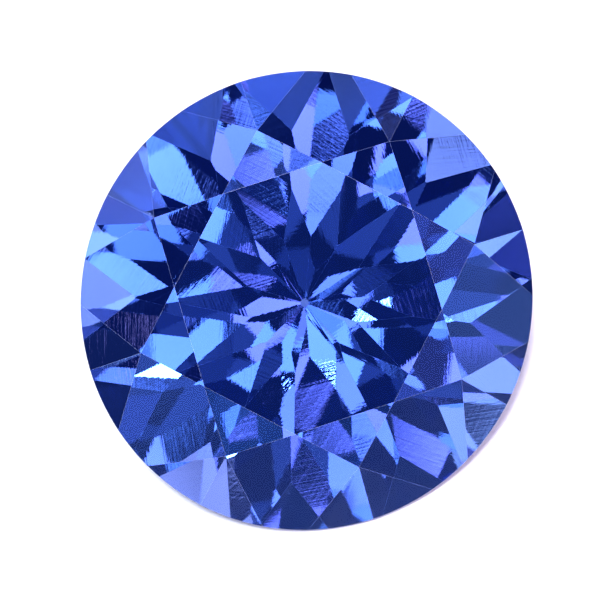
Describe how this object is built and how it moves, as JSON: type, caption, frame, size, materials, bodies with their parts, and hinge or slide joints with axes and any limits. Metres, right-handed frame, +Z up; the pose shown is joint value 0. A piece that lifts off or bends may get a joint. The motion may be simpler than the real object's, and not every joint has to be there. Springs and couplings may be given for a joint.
{
  "type": "round faceted gemstone",
  "caption": "Loose round brilliant-cut gemstone, clear blue-violet crystal, with a flat table and a deep pointed pavilion; it lies on one pavilion flat.",
  "frame": {"origin": "centre of the bounding box's bottom, on the surface that the stone lies on", "axes": "+Z up; +X across the girdle, level; the table faces -Y and up"},
  "size_m": [0.01, 0.0074, 0.007],
  "materials": {
    "blue_violet_crystal": "polished"
  },
  "bodies": {
    "root": {"faceted_stone": "blue_violet_crystal"}
  },
  "joints": []
}
